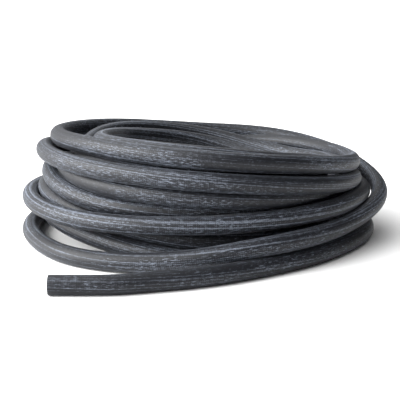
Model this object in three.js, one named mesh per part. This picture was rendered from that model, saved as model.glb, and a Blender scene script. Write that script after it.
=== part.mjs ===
// Heater hose: one 50 ft length of plain black rubber hose, 5/8 in bore, lying as a loose coil.
// Millimetres, +Z up. The coil lies on the level Z = 0, the cut end points along -X at the front left,
// and the origin is the centre of the bottom of the whole coil's box.

import * as THREE from 'three';

// Hose
const bore = 15.9;
const wall = 3.9;
const hoseDiameter = bore + 2 * wall;
const hoseSides = 12;
const contactGap = 0.3;

// Wound part of the coil: turns lie on each other in rows and beside each other in columns
const coilMeanRadius = 195;
const turnsAcross = 2;
const rowPitch = 1.12 * hoseDiameter;
const rowLeans = [0.22, 0.4, 1.1, 0.45, 0.77, 0.25].map((lean) => lean * hoseDiameter);
const ringSegments = 48;
const turnFaceAngle = Math.PI / 3;
const arcStep = Math.PI / 6;

// Straight end of the hose, and the loose turns that it leads to
const endLength = 47;
const endSides = 24;
const looseSteps = 66;

// Centre line of the loose turns, from where the straight end stops. Each point is set out in hose
// diameters: to the right and to the back of the wound part's centre, and above the floor.
const looseRoute = [
  [-5.00, -13.70, 0.50], [-4.53, -13.70, 0.50], [-3.80, -13.64, 0.50], [-2.60, -13.30, 0.50],
  [-1.20, -12.90, 0.50], [0.30, -12.35, 0.50], [2.30, -11.30, 0.50], [4.40, -9.85, 0.50],
  [6.70, -7.80, 0.50], [8.10, -6.00, 0.50], [9.20, -4.25, 0.50], [10.05, -2.20, 0.50],
  [10.37, 0.00, 0.50], [10.10, 2.60, 0.50], [9.05, 5.20, 0.50], [7.20, 7.35, 0.50],
  [5.00, 8.95, 0.50], [2.50, 9.90, 0.50], [-0.10, 10.15, 0.50], [-2.70, 9.80, 0.50],
  [-5.20, 8.65, 0.50], [-7.30, 7.00, 0.50], [-8.90, 4.90, 0.50], [-9.75, 2.50, 0.50],
  [-9.98, 0.00, 0.50], [-9.72, -2.20, 0.50], [-9.04, -4.35, 0.50], [-7.96, -6.50, 0.50],
  [-6.60, -8.20, 0.50], [-4.95, -9.30, 0.52], [-3.10, -10.00, 0.62], [-1.20, -10.45, 0.80],
  [0.60, -10.75, 1.08], [2.50, -10.60, 1.40], [4.45, -9.75, 1.56], [6.70, -7.88, 1.60],
  [8.25, -6.05, 1.70], [9.65, -4.10, 1.95], [10.75, -2.00, 2.30], [11.20, 0.00, 2.62],
  [11.05, 2.20, 3.15], [10.30, 4.20, 3.70], [9.15, 5.80, 4.10], [7.60, 7.40, 4.38],
  [5.45, 8.83, 4.42], [3.00, 9.93, 4.42],
];

// The route was set out round a coil of this mean radius, in hose diameters. With another coil each
// point keeps its bearing and its distance outside the coil, kept to these steps.
const setOutRadius = 195 / 23.7;
const bearingSteps = 1800 / Math.PI;
const outsideSteps = 100;

const rubber = new THREE.MeshStandardMaterial({ color: 0x34363c, roughness: 0.72, metalness: 0 });

function namedMesh(name, geometry) {
  const mesh = new THREE.Mesh(geometry, rubber.clone());
  mesh.name = name;
  return mesh;
}

function hoseSection(sides) {
  const polygon = (diameter) => Array.from({ length: sides }, (_, side) => {
    const angle = (2 * Math.PI * (side + 0.5)) / sides;
    return new THREE.Vector2(Math.cos(angle), Math.sin(angle)).multiplyScalar(diameter / 2);
  });
  const section = new THREE.Shape(polygon(hoseDiameter));
  section.holes.push(new THREE.Path(polygon(bore)));
  return section;
}

// The part of one turn's round outline between two angles, as points of the ring's profile
function turnArc(radius, height, fromAngle, toAngle) {
  const steps = Math.round((toAngle - fromAngle) / arcStep);
  return Array.from({ length: steps + 1 }, (_, step) => {
    const angle = fromAngle + (toAngle - fromAngle) * (step / steps);
    return new THREE.Vector2(
      radius + (hoseDiameter / 2) * Math.cos(angle),
      height + (hoseDiameter / 2) * Math.sin(angle),
    );
  });
}

// Closed outline of the stacked turns, anticlockwise: along the bottom, up the outside, back along
// the top and down the inside, with the round face of each turn that shows
function woundProfile() {
  const topRow = rowLeans.length - 1;
  const lastColumn = turnsAcross - 1;
  const side = turnFaceAngle;
  const rowRadius = (row, column) => (
    coilMeanRadius + rowLeans[row] + (column - lastColumn / 2) * hoseDiameter
  );
  const rowHeight = (row) => hoseDiameter / 2 + row * rowPitch;
  const arc = (row, column, from, to) => turnArc(rowRadius(row, column), rowHeight(row), from, to);
  const down = -Math.PI / 2;
  const up = Math.PI / 2;
  const points = [];
  for (let column = 1; column < lastColumn; column += 1) {
    points.push(...arc(0, column, down - side, down + side));
  }
  points.push(...arc(0, lastColumn, down - side, side));
  for (let row = 1; row < topRow; row += 1) {
    points.push(...arc(row, lastColumn, -side, side));
  }
  points.push(...arc(topRow, lastColumn, -side, up + side));
  for (let column = lastColumn - 1; column > 0; column -= 1) {
    points.push(...arc(topRow, column, up - side, up + side));
  }
  points.push(...arc(topRow, 0, up - side, Math.PI + side));
  for (let row = topRow - 1; row > 0; row -= 1) {
    points.push(...arc(row, 0, Math.PI - side, Math.PI + side));
  }
  points.push(...arc(0, 0, Math.PI - side, Math.PI - down + side));
  points.push(points[0].clone());
  return points;
}

function makeWoundTurns() {
  const geometry = new THREE.LatheGeometry(woundProfile(), ringSegments);
  geometry.rotateX(Math.PI / 2);
  return namedMesh('wound_turns', geometry);
}

function loosePoint([right, back, height]) {
  const bearing = Math.round(Math.atan2(back, right) * bearingSteps) / bearingSteps;
  const outside = Math.round((Math.hypot(right, back) - setOutRadius) * outsideSteps) / outsideSteps;
  const radius = coilMeanRadius + outside * hoseDiameter;
  return new THREE.Vector3(
    radius * Math.cos(bearing),
    radius * Math.sin(bearing),
    height * hoseDiameter,
  );
}

function looseCurve() {
  return new THREE.CatmullRomCurve3(looseRoute.map(loosePoint), false, 'centripetal');
}

function makeLooseTurns() {
  const geometry = new THREE.ExtrudeGeometry(hoseSection(hoseSides), {
    steps: looseSteps,
    extrudePath: looseCurve(),
  });
  return namedMesh('loose_turns', geometry);
}

function makeStraightEnd() {
  const geometry = new THREE.ExtrudeGeometry(hoseSection(endSides), {
    depth: endLength,
    bevelEnabled: false,
  });
  geometry.translate(0, 0, contactGap);
  const outward = looseCurve().getTangentAt(0).negate();
  const end = namedMesh('straight_end', geometry);
  end.quaternion.setFromUnitVectors(new THREE.Vector3(0, 0, 1), outward);
  end.position.copy(loosePoint(looseRoute[0]));
  return end;
}

const heaterHose = new THREE.Group();
heaterHose.add(makeWoundTurns(), makeLooseTurns(), makeStraightEnd());

const box = new THREE.Box3().setFromObject(heaterHose, true);
const centre = box.getCenter(new THREE.Vector3());
heaterHose.position.set(-centre.x, -centre.y, -box.min.z);

export default heaterHose;
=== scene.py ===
"""Heater hose: one length of plain black rubber hose, lying on a pale floor as a loose coil."""

from math import ceil, cos, pi, radians, sin

import bpy
import numpy as np
from bpy.props import FloatProperty, FloatVectorProperty, PointerProperty
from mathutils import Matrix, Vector


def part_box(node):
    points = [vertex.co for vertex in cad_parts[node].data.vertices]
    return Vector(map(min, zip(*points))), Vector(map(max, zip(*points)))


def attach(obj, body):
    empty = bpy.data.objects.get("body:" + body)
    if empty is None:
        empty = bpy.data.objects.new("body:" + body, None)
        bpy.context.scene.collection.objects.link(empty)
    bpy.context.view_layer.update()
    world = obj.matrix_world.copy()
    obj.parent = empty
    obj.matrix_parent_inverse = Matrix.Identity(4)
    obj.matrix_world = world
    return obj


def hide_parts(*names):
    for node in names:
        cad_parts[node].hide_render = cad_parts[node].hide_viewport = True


bl_info = {
    "name": "Heater Hose Coil",
    "version": (1, 0, 0),
    "blender": (4, 5, 0),
    "location": "View3D > Sidebar > Heater Hose",
    "description": "Lays a stock length of rubber heater hose as a loose coil",
    "category": "Add Mesh",
}

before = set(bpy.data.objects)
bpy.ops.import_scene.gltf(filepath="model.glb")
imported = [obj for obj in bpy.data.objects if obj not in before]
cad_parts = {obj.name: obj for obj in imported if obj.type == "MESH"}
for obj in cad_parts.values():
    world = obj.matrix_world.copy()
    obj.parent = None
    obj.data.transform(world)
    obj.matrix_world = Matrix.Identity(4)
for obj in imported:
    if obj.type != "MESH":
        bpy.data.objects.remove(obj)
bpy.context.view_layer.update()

MM = 0.001

# The hose's own sizes, as in the part: a 5/8 in bore and the wall of rubber around it
BORE = 15.9 * MM
WALL = 3.9 * MM
HOSE_DIAMETER = BORE + 2 * WALL
STOCK_LENGTH = 15.24
CONTACT_GAP = 0.3 * MM
STRAIGHT_END_LENGTH = 47 * MM

# Centre line of the loose turns, as in the part. Each point is set out in hose diameters: to the
# right and to the back of the wound part's centre, and above the floor.
LOOSE_ROUTE = (
    (-5.00, -13.70, 0.50), (-4.53, -13.70, 0.50), (-3.80, -13.64, 0.50), (-2.60, -13.30, 0.50),
    (-1.20, -12.90, 0.50), (0.30, -12.35, 0.50), (2.30, -11.30, 0.50), (4.40, -9.85, 0.50),
    (6.70, -7.80, 0.50), (8.10, -6.00, 0.50), (9.20, -4.25, 0.50), (10.05, -2.20, 0.50),
    (10.37, 0.00, 0.50), (10.10, 2.60, 0.50), (9.05, 5.20, 0.50), (7.20, 7.35, 0.50),
    (5.00, 8.95, 0.50), (2.50, 9.90, 0.50), (-0.10, 10.15, 0.50), (-2.70, 9.80, 0.50),
    (-5.20, 8.65, 0.50), (-7.30, 7.00, 0.50), (-8.90, 4.90, 0.50), (-9.75, 2.50, 0.50),
    (-9.98, 0.00, 0.50), (-9.72, -2.20, 0.50), (-9.04, -4.35, 0.50), (-7.96, -6.50, 0.50),
    (-6.60, -8.20, 0.50), (-4.95, -9.30, 0.52), (-3.10, -10.00, 0.62), (-1.20, -10.45, 0.80),
    (0.60, -10.75, 1.08), (2.50, -10.60, 1.40), (4.45, -9.75, 1.56), (6.70, -7.88, 1.60),
    (8.25, -6.05, 1.70), (9.65, -4.10, 1.95), (10.75, -2.00, 2.30), (11.20, 0.00, 2.62),
)

# The wound turns, in the order that the hose passes through them. Each row holds the turn's radius
# and height in hose diameters at eight bearings, from the back right round by the left and the
# front to the right. Radii are measured from a point right of the wound part's centre.
TURN_BEARINGS = tuple(radians(bearing) for bearing in (45, 90, 135, 180, 225, 270, 315, 360))
TURN_CENTRE_RIGHT = 0.6
WOUND_TURNS = (
    # over the back to the top turn
    ((10.1, 4.3), (9.7, 4.88), (8.9, 5.62), (8.8, 5.98),
     (8.72, 6.12), (9.7, 5.9), (9.0, 5.1), (8.75, 4.34)),
    # second from the top
    ((9.0, 4.3), (9.15, 4.05), (9.25, 4.35), (9.6, 5.2),
     (9.6, 5.12), (10.0, 4.82), (9.25, 4.02), (8.8, 3.35)),
    # dips behind the front from the left
    ((9.1, 3.15), (9.4, 2.9), (9.25, 3.35), (9.3, 4.0),
     (9.15, 3.15), (8.8, 2.95), (8.5, 2.2), (8.5, 1.8)),
    # wide turn half way up
    ((8.6, 2.0), (9.9, 1.95), (10.2, 2.2), (10.48, 2.42),
     (10.2, 2.35), (9.6, 2.5), (9.4, 2.7), (9.5, 2.75)),
    # dives behind the wide turn
    ((9.85, 2.35), (8.5, 1.9), (9.0, 2.5), (9.6, 3.05),
     (9.0, 2.25), (8.8, 1.42), (8.5, 1.3), (8.2, 1.25)),
    # down to the floor at the front
    ((9.2, 1.25), (9.4, 1.35), (9.7, 1.4), (9.75, 1.95),
     (9.2, 1.42), (9.35, 0.5), (8.9, 0.5), (8.7, 0.5)),
    # rises off the floor at the left
    ((8.6, 0.5), (8.8, 0.5), (9.0, 0.8), (8.75, 2.0),
     (8.2, 1.35), (8.35, 0.55), (7.9, 0.5), (7.7, 0.5)),
    # climbs inside to the third from the top
    ((7.6, 1.3), (7.6, 2.5), (8.0, 3.6), (8.3, 4.3),
     (9.2, 4.2), (9.6, 3.9), (8.4, 3.36), (7.8, 3.1)),
    # narrow inner turn on top
    ((7.15, 3.4), (7.5, 4.43), (6.3, 5.25), (5.8, 5.77),
     (7.65, 6.1), (8.7, 5.95), (8.0, 5.0), (7.9, 4.1)),
    # last turn, down inside the others
    ((8.15, 3.7), (8.45, 4.75), (7.9, 5.5), (7.1, 5.35),
     (8.5, 5.2), (8.8, 4.85), (8.1, 4.02), (7.6, 3.0)),
    # its end, out of sight at the back
    ((6.8, 2.5), (6.5, 2.2), (6.6, 2.1)),
)

# How the turns settle against each other, in hose diameters
SETTLE_SPACING = 0.5
SETTLE_CONTACT = 1.02
SETTLE_REACH = 1.6
SETTLE_NEIGHBOURS = 6
SETTLE_ROUNDS = 90
SETTLE_SEARCH_EVERY = 6
SETTLE_PULL = 0.02
SETTLE_PUSH = 1.5
SETTLE_EASE = 4
SETTLE_SMOOTHINGS = 3
ROUTE_SMOOTHINGS = 2
LEAST_HEIGHT = 0.5
NEVER_ZERO = 1e-6

# Points worked out on the smooth curve between two given ones, before they are evened out
CURVE_STEPS = 40

# The skin mesh
SKIN_SIDES = 36
SKIN_RING_SPACING = 7.5 * MM
BORE_SIDES = SKIN_SIDES // 2
BORE_RING_EVERY = 2
CUT_EDGE_ROUND = 0.8 * MM
CUT_EDGE_STEPS = 3

# The coiled hose is flattened by this share, from this far along it on
OVAL_SHARE = 0.02
OVAL_FULL_AFTER = 0.35

# One twist of the hose takes this length of it, and edges sharper than this angle stay sharp
TWIST_LENGTH = 2.1
SHARP_EDGE = radians(50)

# Diagonal ticks of the braid: their pitch along the hose, and how many stand round it
BRAID_PITCH = 5.2 * MM
BRAID_TICKS = 14

# The camera, in hose diameters from the point that the turns are measured from
CAMERA_PLACE = (-0.31, -59.85, 14.05)
CAMERA_PITCH = radians(11.5)
FOCAL_PIXELS = 1000
IMAGE_PIXELS = 400
SENSOR_WIDTH = 36

FLOOR_SIZE = 400

# Where the soft key light stands, seen from the coil: to the right, to the back, up
KEY_FROM = (-0.95, -0.16, 0.3)


def linear(hex_colour):
    """The linear RGB of an sRGB colour written as six hex digits."""
    channels = (int(hex_colour[i:i + 2], 16) / 255 for i in (0, 2, 4))
    return tuple(c / 12.92 if c <= 0.04045 else ((c + 0.055) / 1.055) ** 2.4 for c in channels)


def add_node(tree, kind, settings=None, values=None, links=None):
    """Adds a node with its settings, input values and incoming links."""
    node = tree.nodes.new(kind)
    for name, value in (settings or {}).items():
        setattr(node, name, value)
    for name, value in (values or {}).items():
        node.inputs[name].default_value = value
    for name, socket in (links or {}).items():
        tree.links.new(socket, node.inputs[name])
    return node


def wound_centre():
    """The point on the floor at the centre of the wound turns, in metres."""
    low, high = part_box("wound_turns")
    return np.array(((low[0] + high[0]) / 2, (low[1] + high[1]) / 2, 0.0))


def smooth_curve(points, spacing):
    """Even points, about a spacing apart, on the smooth curve through the given points."""
    points = np.asarray(points, float)
    chords = np.linalg.norm(np.diff(points, axis=0), axis=1)
    knots = np.concatenate(([0.0], np.cumsum(chords)))
    count = len(points)
    matrix = np.eye(count)
    known = np.zeros((count, 3))
    for i in range(1, count - 1):
        before, after = chords[i - 1], chords[i]
        matrix[i, i - 1:i + 2] = before, 2 * (before + after), after
        known[i] = 6 * ((points[i + 1] - points[i]) / after - (points[i] - points[i - 1]) / before)
    bends = np.linalg.solve(matrix, known)
    fine = np.linspace(0, knots[-1], CURVE_STEPS * count)
    span = np.clip(np.searchsorted(knots, fine, "right") - 1, 0, count - 2)
    width = chords[span]
    left = ((knots[span + 1] - fine) / width)[:, None]
    right = 1 - left
    curve = left * points[span] + right * points[span + 1]
    curve += ((left**3 - left) * bends[span] + (right**3 - right) * bends[span + 1]) * width[:, None]**2 / 6
    return even_points(curve, spacing)


def arc_lengths(points):
    """The distance along a line of points to each of them."""
    return np.concatenate(([0.0], np.cumsum(np.linalg.norm(np.diff(points, axis=0), axis=1))))


def points_at(points, distances):
    """The points at the given distances along a line of points."""
    along = arc_lengths(points)
    return np.stack([np.interp(distances, along, points[:, axis]) for axis in range(3)], axis=1)


def even_points(points, spacing):
    """A line of points resampled evenly."""
    length = arc_lengths(points)[-1]
    return points_at(points, np.linspace(0, length, int(ceil(length / spacing)) + 1))


def turn_points():
    """The wound turns' points, in hose diameters from the centre of the wound part."""
    points = []
    for turn in WOUND_TURNS:
        for bearing, (radius, height) in zip(TURN_BEARINGS, turn):
            right = TURN_CENTRE_RIGHT + radius * cos(bearing)
            points.append((right, radius * sin(bearing), height))
    return points


def close_pairs(line, loose):
    """Pairs of points of different turns that are near each other, at least one of them free."""
    first, second = [], []
    for i in range(len(line) - SETTLE_NEIGHBOURS):
        start = max(i + SETTLE_NEIGHBOURS, loose)
        apart = ((line[start:] - line[i])**2).sum(axis=1)
        near = np.nonzero(apart < SETTLE_REACH**2)[0] + start
        first.append(np.full(len(near), i))
        second.append(near)
    return np.concatenate(first), np.concatenate(second)


def settle(line, loose):
    """Pushes the turns apart where they touch, as gentle bends. The first, loose points stay."""
    wanted = line.copy()
    free = np.ones((len(line), 1))
    free[:loose] = 0
    ease = int(SETTLE_EASE / SETTLE_SPACING)
    free[loose:loose + ease, 0] = np.linspace(0, 1, ease)
    for step in range(SETTLE_ROUNDS):
        if step % SETTLE_SEARCH_EVERY == 0:
            first, second = close_pairs(line, loose)
        line = line + SETTLE_PULL * (wanted - line)
        between = line[first] - line[second]
        apart = np.linalg.norm(between, axis=1)
        touching = apart < SETTLE_CONTACT
        i, j = first[touching], second[touching]
        share = free[i] + free[j] + NEVER_ZERO
        push = between[touching] * ((SETTLE_CONTACT - apart[touching]) / apart[touching])[:, None]
        moves = np.zeros_like(line)
        counts = np.zeros((len(line), 1))
        np.add.at(moves, i, push * free[i] / share)
        np.add.at(moves, j, -push * free[j] / share)
        np.add.at(counts, i, 1)
        np.add.at(counts, j, 1)
        shift = line + SETTLE_PUSH * moves / np.maximum(counts, 1) - wanted
        for _ in range(SETTLE_SMOOTHINGS):
            shift[1:-1] = (shift[:-2] + 2 * shift[1:-1] + shift[2:]) / 4
        line = wanted + shift * (free > 0)
        line[:, 2] = np.maximum(line[:, 2], LEAST_HEIGHT)
    return line


def hose_route():
    """The whole hose's centre line in metres, from the cut end to the end inside the coil."""
    straight = (STRAIGHT_END_LENGTH + CONTACT_GAP) / HOSE_DIAMETER
    lead = [np.array(LOOSE_ROUTE[0]) - (straight * share, 0, 0) for share in (1, 0.5)]
    line = smooth_curve([*lead, *LOOSE_ROUTE, *turn_points()], SETTLE_SPACING)
    held = int(np.argmin(((line - LOOSE_ROUTE[-1])**2).sum(axis=1)))
    line = smooth_line(settle(line, held), ROUTE_SMOOTHINGS) * HOSE_DIAMETER
    held_length = arc_lengths(line)[-1]
    if held_length < STOCK_LENGTH:
        raise RuntimeError("the turns hold %.3f m, less than the stock length" % held_length)
    return line + wound_centre()


def smooth_line(line, times):
    """A line of points with its small kinks taken out."""
    line = line.copy()
    for _ in range(times):
        line[1:-1] = (line[:-2] + 2 * line[1:-1] + line[2:]) / 4
    return line


class HoseSettings(bpy.types.PropertyGroup):
    """Sizes and colours of the hose."""

    outside_diameter: FloatProperty(
        name="Outside Diameter", description="Diameter over the rubber cover",
        default=HOSE_DIAMETER, min=0.01, unit="LENGTH")
    bore: FloatProperty(
        name="Bore", description="Inside diameter, which fits a 5/8 in spigot",
        default=BORE, min=0.005, unit="LENGTH")
    stock_length: FloatProperty(
        name="Length", description="Length of the hose from end to end",
        default=STOCK_LENGTH, min=1, unit="LENGTH")
    rubber_colour: FloatVectorProperty(
        name="Rubber", description="Colour of the clean rubber",
        default=linear("0B0D13"), size=3, min=0, max=1, subtype="COLOR")
    bloom_colour: FloatVectorProperty(
        name="Bloom", description="Colour of the dusty bloom on the rubber",
        default=linear("626873"), size=3, min=0, max=1, subtype="COLOR")


class StageSettings(bpy.types.PropertyGroup):
    """Floor, lights and camera."""

    floor_colour: FloatVectorProperty(
        name="Floor", description="Colour of the floor",
        default=linear("F6F6F6"), size=3, min=0, max=1, subtype="COLOR")
    key_strength: FloatProperty(
        name="Key Light", description="Strength of the soft light at the upper left",
        default=10.5, min=0, subtype="FACTOR")
    key_spread: FloatProperty(
        name="Key Spread", description="Width of the soft light, which softens the shadows",
        default=radians(65), min=0, max=pi, subtype="ANGLE")
    sky_strength: FloatProperty(
        name="Surround", description="Strength of the white surround",
        default=1.5, min=0, subtype="FACTOR")


def skin_vector(tree, radius):
    """Where a point lies on the unwound hose: along it, and across its round section, in metres."""
    place = add_node(tree, "ShaderNodeUVMap", {"uv_map": "lay"})
    split = add_node(tree, "ShaderNodeSeparateXYZ", links={"Vector": place.outputs["UV"]})
    angle = add_node(
        tree, "ShaderNodeMath", {"operation": "MULTIPLY"}, {1: 2 * pi}, {0: split.outputs["Y"]})
    sides = []
    for turn in ("COSINE", "SINE"):
        wave = add_node(tree, "ShaderNodeMath", {"operation": turn}, links={0: angle.outputs[0]})
        sides.append(add_node(
            tree, "ShaderNodeMath", {"operation": "MULTIPLY"}, {1: radius}, {0: wave.outputs[0]}))
    joined = add_node(tree, "ShaderNodeCombineXYZ", links={
        "X": split.outputs["X"], "Y": sides[0].outputs[0], "Z": sides[1].outputs[0]})
    return joined.outputs["Vector"]


def skin_noise(tree, skin, length, width, detail=2, roughness=0.5):
    """Noise whose marks have a real length along the hose and a real width around it."""
    scaled = add_node(
        tree, "ShaderNodeVectorMath", {"operation": "MULTIPLY"},
        {1: (1 / length, 1 / width, 1 / width)}, {0: skin})
    noise = add_node(
        tree, "ShaderNodeTexNoise", values={"Scale": 1, "Detail": detail, "Roughness": roughness},
        links={"Vector": scaled.outputs["Vector"]})
    return noise.outputs["Fac"]


def ramp(tree, value, low, high, to_low=0.0, to_high=1.0):
    """A value stretched from one range to another, and held within it."""
    node = add_node(
        tree, "ShaderNodeMapRange", {"interpolation_type": "SMOOTHSTEP"},
        {"From Min": low, "From Max": high, "To Min": to_low, "To Max": to_high}, {"Value": value})
    return node.outputs["Result"]


def combine(tree, operation, first, second):
    """Two values, or a value and a number, put together by a maths node."""
    node = add_node(tree, "ShaderNodeMath", {"operation": operation})
    for socket, value in zip(node.inputs, (first, second)):
        if isinstance(value, (int, float)):
            socket.default_value = value
        else:
            tree.links.new(value, socket)
    return node.outputs[0]


def braid_print(tree):
    """The fine diagonal ticks that the braid under the rubber prints through it: 0 to 1."""
    lay = add_node(tree, "ShaderNodeUVMap", {"uv_map": "lay"})
    place = add_node(tree, "ShaderNodeSeparateXYZ", links={"Vector": lay.outputs["UV"]})
    along = combine(tree, "MULTIPLY", place.outputs["X"], 2 * pi / BRAID_PITCH)
    around = combine(tree, "MULTIPLY", place.outputs["Y"], 2 * pi * BRAID_TICKS)
    one_way = combine(tree, "SINE", combine(tree, "ADD", along, around), 0)
    other_way = combine(tree, "SINE", combine(tree, "SUBTRACT", along, around), 0)
    return ramp(tree, combine(tree, "MULTIPLY", one_way, other_way), 0, 0.9, 0, 1)


def epdm_rubber(settings):
    """Extruded and cured EPDM rubber: dark, matt and faintly blue, with a pale bloom wiped into
    streaks along the hose, mottled patches and dashes where it has been handled, and fine die lines.
    The bloom is a thin dust, so it shows palest where the hose curves away from the eye."""
    material = bpy.data.materials.new("epdm_rubber_extruded")
    material.use_nodes = True
    tree = material.node_tree
    shader = tree.nodes["Principled BSDF"]
    skin = skin_vector(tree, settings.outside_diameter / 2)
    streaks = skin_noise(tree, skin, 120 * MM, 1.5 * MM, 2, 0.5)
    dashes = skin_noise(tree, skin, 7 * MM, 0.9 * MM, 1, 0.5)
    mottle = skin_noise(tree, skin, 6 * MM, 3 * MM, 3, 0.6)
    clouds = skin_noise(tree, skin, 170 * MM, 20 * MM, 2, 0.5)
    grain = skin_noise(tree, skin, 2 * MM, 1.4 * MM, 2, 0.6)
    die_lines = skin_noise(tree, skin, 2500 * MM, 1.9 * MM, 1, 0.5)
    braid = combine(tree, "MULTIPLY", braid_print(tree), ramp(tree, clouds, 0.42, 0.6, 0.3, 1))
    bloom = ramp(tree, clouds, 0.35, 0.65, 0, 0.14)
    bloom = combine(tree, "ADD", bloom, ramp(tree, die_lines, 0.56, 0.63, 0, 0.5))
    bloom = combine(tree, "ADD", bloom, ramp(tree, streaks, 0.48, 0.64, 0, 0.24))
    bloom = combine(tree, "ADD", bloom, ramp(tree, mottle, 0.42, 0.62, 0, 0.24))
    handled_here = ramp(tree, clouds, 0.4, 0.6, 0.3, 1)
    marks = combine(tree, "MULTIPLY", ramp(tree, dashes, 0.6, 0.68, 0, 1), handled_here)
    bloom = combine(tree, "ADD", bloom, marks)
    bloom = combine(tree, "ADD", bloom, ramp(tree, grain, 0.4, 0.62, -0.08, 0.12))
    bloom = combine(tree, "ADD", bloom, combine(tree, "MULTIPLY", braid, 0.3))
    along = add_node(tree, "ShaderNodeSeparateXYZ", links={"Vector": skin})
    handled = ramp(tree, along.outputs["X"], 0.2, 2.2, 0.85, 1)
    bloom = ramp(tree, combine(tree, "MULTIPLY", bloom, handled), 0.22, 1.45)
    colour = add_node(
        tree, "ShaderNodeMix", {"data_type": "RGBA"},
        {"A": (*settings.rubber_colour, 1), "B": (*settings.bloom_colour, 1)}, {"Factor": bloom})
    tree.links.new(colour.outputs["Result"], shader.inputs["Base Color"])
    tree.links.new(ramp(tree, bloom, 0, 1, 0.55, 0.8), shader.inputs["Roughness"])
    tree.links.new(ramp(tree, bloom, 0, 1, 0.03, 0.14), shader.inputs["Sheen Weight"])
    shader.inputs["IOR"].default_value = 1.52
    shader.inputs["Specular IOR Level"].default_value = 0.3
    shader.inputs["Sheen Roughness"].default_value = 0.35
    shader.inputs["Sheen Tint"].default_value = (*linear("DDE3EE"), 1)
    relief = combine(
        tree, "ADD", combine(tree, "MULTIPLY", streaks, 0.5), combine(tree, "MULTIPLY", grain, 0.35))
    bump = add_node(
        tree, "ShaderNodeBump", values={"Strength": 0.6, "Distance": 0.3 * MM}, links={"Height": relief})
    tree.links.new(bump.outputs["Normal"], shader.inputs["Normal"])
    return material


def ring_distances(length):
    """Where the rings of the skin stand along the hose, closer together at the two cut edges."""
    count = int(round((length - 2 * CUT_EDGE_ROUND) / SKIN_RING_SPACING))
    count += count % BORE_RING_EVERY
    edge = [CUT_EDGE_ROUND * (1 - cos(pi / 2 * step / CUT_EDGE_STEPS)) for step in range(CUT_EDGE_STEPS)]
    body = np.linspace(CUT_EDGE_ROUND, length - CUT_EDGE_ROUND, count + 1)
    return np.concatenate((edge, body, length - np.array(edge[::-1])))


def edge_inset(distances, length):
    """How far the rounded cut edges draw the skin in at each ring."""
    from_end = np.minimum(distances, length - distances)
    rise = np.clip(CUT_EDGE_ROUND - from_end, 0, None)
    return CUT_EDGE_ROUND - np.sqrt(np.clip(CUT_EDGE_ROUND**2 - rise**2, 0, None))


def ring_frames(centres):
    """The sideways and upward directions square to the hose at each ring."""
    ahead = np.gradient(centres, axis=0)
    ahead /= np.linalg.norm(ahead, axis=1)[:, None]
    side = np.cross(ahead, (0.0, 0.0, 1.0))
    side /= np.linalg.norm(side, axis=1)[:, None]
    return side, np.cross(side, ahead)


def ring_corners(centres, side, up, sides, half_side, half_up):
    """The corners of rings around the given centres."""
    angles = 2 * pi * np.arange(sides) / sides
    across = side[:, None, :] * np.cos(angles)[None, :, None] * half_side[:, None, None]
    upward = up[:, None, :] * np.sin(angles)[None, :, None] * half_up[:, None, None]
    return centres[:, None, :] + across + upward


def tube_faces(rings, sides, first, outward):
    """Quads between neighbouring rings, facing out of the rubber."""
    ring = np.arange(rings - 1)[:, None] * sides + first
    corner = np.arange(sides)[None, :]
    after = (corner + 1) % sides
    quads = np.stack((ring + corner, ring + after, ring + sides + after, ring + sides + corner), axis=2)
    quads = quads.reshape(-1, 4)
    return quads if outward else quads[:, ::-1]


def cut_faces(skin_first, bore_first, at_start):
    """The flat ring of rubber that shows at a cut end."""
    faces = []
    for side in range(BORE_SIDES):
        skin = [skin_first + (2 * side + step) % SKIN_SIDES for step in range(3)]
        bore = [bore_first + (side + 1) % BORE_SIDES, bore_first + side]
        face = skin + bore
        faces.append(face[::-1] if at_start else face)
    return faces


def hose_mesh(route, settings):
    """The hose as one closed skin with its bore, and the centres of its rings."""
    length = settings.stock_length
    radius = settings.outside_diameter / 2
    distances = ring_distances(length)
    centres = points_at(route, distances)
    side, up = ring_frames(centres)
    oval = OVAL_SHARE * np.clip((distances - OVAL_FULL_AFTER) / OVAL_FULL_AFTER, 0, 1)
    inset = edge_inset(distances, length)
    skin = ring_corners(
        centres, side, up, SKIN_SIDES, radius * (1 - oval) - inset, radius * (1 + oval) - inset)
    between = np.arange(CUT_EDGE_STEPS, len(distances), BORE_RING_EVERY)
    kept = np.unique(np.concatenate(([0], between, [len(distances) - 1])))
    bore_radius = settings.bore / 2
    bore = ring_corners(
        centres[kept], side[kept], up[kept], BORE_SIDES,
        bore_radius * (1 - oval[kept]), bore_radius * (1 + oval[kept]))
    bore_first = skin.shape[0] * SKIN_SIDES
    corners = np.concatenate((skin.reshape(-1, 3), bore.reshape(-1, 3)))
    skin_last = bore_first - SKIN_SIDES
    bore_last = len(corners) - BORE_SIDES
    faces = tube_faces(len(distances), SKIN_SIDES, 0, True).tolist()
    skin_count = len(faces)
    faces += tube_faces(len(kept), BORE_SIDES, bore_first, False).tolist()
    faces += cut_faces(0, bore_first, True) + cut_faces(skin_last, bore_last, False)
    mesh = bpy.data.meshes.new("heater_hose")
    mesh.from_pydata(corners.tolist(), [], faces)
    mesh.update()
    lay_map(mesh, distances, kept, skin_count)
    mesh.polygons.foreach_set("use_smooth", np.ones(len(mesh.polygons), dtype=bool))
    mesh.set_sharp_from_angle(angle=SHARP_EDGE)
    return mesh, centres


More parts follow.
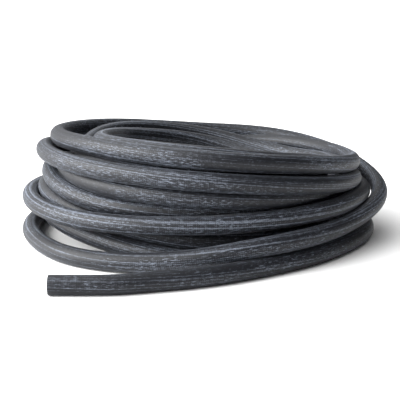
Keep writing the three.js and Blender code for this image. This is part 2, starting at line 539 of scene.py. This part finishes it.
def lay_map(mesh, distances, kept, skin_count):
    """Writes where each corner lies on the unwound hose: metres along it, and share of a turn."""
    vertex = np.empty(len(mesh.loops), dtype=int)
    mesh.loops.foreach_get("vertex_index", vertex)
    bore_first = len(distances) * SKIN_SIDES
    on_bore = vertex >= bore_first
    inner = vertex - bore_first
    ring = np.where(on_bore, kept[np.clip(inner // BORE_SIDES, 0, len(kept) - 1)], vertex // SKIN_SIDES)
    ring = np.clip(ring, 0, len(distances) - 1)
    share = np.where(on_bore, inner % BORE_SIDES / BORE_SIDES, vertex % SKIN_SIDES / SKIN_SIDES)
    starts = np.empty(len(mesh.polygons), dtype=int)
    totals = np.empty(len(mesh.polygons), dtype=int)
    mesh.polygons.foreach_get("loop_start", starts)
    mesh.polygons.foreach_get("loop_total", totals)
    face = np.repeat(np.arange(len(starts)), totals)
    highest = np.maximum.reduceat(share, starts)[face]
    share = np.where((share == 0) & (highest > 0.6), 1.0, share)
    along = distances[ring]
    layer = mesh.uv_layers.new(name="lay")
    layer.data.foreach_set("uv", np.stack((along, share + along / TWIST_LENGTH), axis=1).ravel())


def add_object(name, data):
    """Links a new object with the given data to the scene."""
    made = bpy.data.objects.new(name, data)
    bpy.context.scene.collection.objects.link(made)
    return made


class HEATER_HOSE_OT_lay_hose(bpy.types.Operator):
    """Lay the hose as one long tube, from the cut end round the loose turns and into the coil."""

    bl_idname = "heater_hose.lay_hose"
    bl_label = "Lay the Hose"

    def execute(self, context):
        settings = context.scene.heater_hose
        mesh, centres = hose_mesh(hose_route(), settings)
        hose = add_object("heater_hose", mesh)
        mesh.materials.append(epdm_rubber(settings))
        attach(hose, "root")
        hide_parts("wound_turns", "loose_turns", "straight_end")
        return {"FINISHED"}


def soft_sun(name, from_direction, strength, spread):
    """A soft light like a large diffuser far away, in the given direction."""
    lamp = bpy.data.lights.new(name, "SUN")
    lamp.energy = strength
    lamp.angle = spread
    light = add_object(name, lamp)
    light.rotation_euler = Vector(from_direction).to_track_quat("Z", "Y").to_euler()
    return light


class HEATER_HOSE_OT_set_stage(bpy.types.Operator):
    """Set the camera, the pale floor, the soft light at the left and the white surround."""

    bl_idname = "heater_hose.set_stage"
    bl_label = "Set the Stage"

    def execute(self, context):
        scene = context.scene
        settings = scene.heater_hose_stage
        self.place_camera(scene)
        self.lay_floor(settings)
        self.hang_lights(settings)
        self.light_surround(scene, settings)
        scene.view_settings.view_transform = "Standard"
        return {"FINISHED"}

    def place_camera(self, scene):
        lens = bpy.data.cameras.new("camera")
        lens.sensor_width = SENSOR_WIDTH
        lens.lens = SENSOR_WIDTH * FOCAL_PIXELS / IMAGE_PIXELS
        camera = add_object("camera", lens)
        place = np.array(CAMERA_PLACE) + (TURN_CENTRE_RIGHT, 0, 0)
        camera.location = place * HOSE_DIAMETER + wound_centre()
        camera.rotation_euler = (pi / 2 - CAMERA_PITCH, 0, 0)
        scene.camera = camera

    def lay_floor(self, settings):
        half = FLOOR_SIZE / 2
        corners = [(-half, -half, 0), (half, -half, 0), (half, half, 0), (-half, half, 0)]
        mesh = bpy.data.meshes.new("floor")
        mesh.from_pydata(corners, [], [(0, 1, 2, 3)])
        floor = add_object("floor", mesh)
        material = bpy.data.materials.new("studio_floor_painted")
        material.use_nodes = True
        shader = material.node_tree.nodes["Principled BSDF"]
        shader.inputs["Base Color"].default_value = (*settings.floor_colour, 1)
        shader.inputs["Roughness"].default_value = 0.9
        mesh.materials.append(material)

    def hang_lights(self, settings):
        soft_sun("key", KEY_FROM, settings.key_strength, settings.key_spread)

    def light_surround(self, scene, settings):
        world = bpy.data.worlds.new("surround")
        world.use_nodes = True
        tree = world.node_tree
        background = tree.nodes["Background"]
        place = add_node(tree, "ShaderNodeTexCoord")
        split = add_node(tree, "ShaderNodeSeparateXYZ", links={"Vector": place.outputs["Generated"]})
        overhead = ramp(tree, split.outputs["Z"], 0, 1, 0.25, 1.7)
        sideways = ramp(tree, split.outputs["X"], -0.8, 0.7, 1.5, 0.02)
        both = combine(tree, "MULTIPLY", overhead, sideways)
        bright = combine(tree, "MULTIPLY", both, settings.sky_strength)
        tree.links.new(bright, background.inputs["Strength"])
        background.inputs["Color"].default_value = (1, 1, 1, 1)
        scene.world = world


class HEATER_HOSE_PT_panel(bpy.types.Panel):
    """Lists the hose's and the stage's settings with the buttons that make them."""

    bl_label = "Heater Hose"
    bl_idname = "HEATER_HOSE_PT_panel"
    bl_space_type = "VIEW_3D"
    bl_region_type = "UI"
    bl_category = "Heater Hose"

    def draw(self, context):
        for settings, operator in (
            (context.scene.heater_hose_stage, HEATER_HOSE_OT_set_stage),
            (context.scene.heater_hose, HEATER_HOSE_OT_lay_hose),
        ):
            column = self.layout.column(align=True)
            for name in settings.__annotations__:
                column.prop(settings, name)
            column.operator(operator.bl_idname)


CLASSES = (
    HoseSettings,
    StageSettings,
    HEATER_HOSE_OT_lay_hose,
    HEATER_HOSE_OT_set_stage,
    HEATER_HOSE_PT_panel,
)


def register():
    for kind in CLASSES:
        bpy.utils.register_class(kind)
    bpy.types.Scene.heater_hose = PointerProperty(type=HoseSettings)
    bpy.types.Scene.heater_hose_stage = PointerProperty(type=StageSettings)


def unregister():
    del bpy.types.Scene.heater_hose_stage
    del bpy.types.Scene.heater_hose
    for kind in reversed(CLASSES):
        bpy.utils.unregister_class(kind)


def main():
    register()
    bpy.ops.heater_hose.set_stage()
    bpy.ops.heater_hose.lay_hose()


if __name__ == "__main__":
    main()
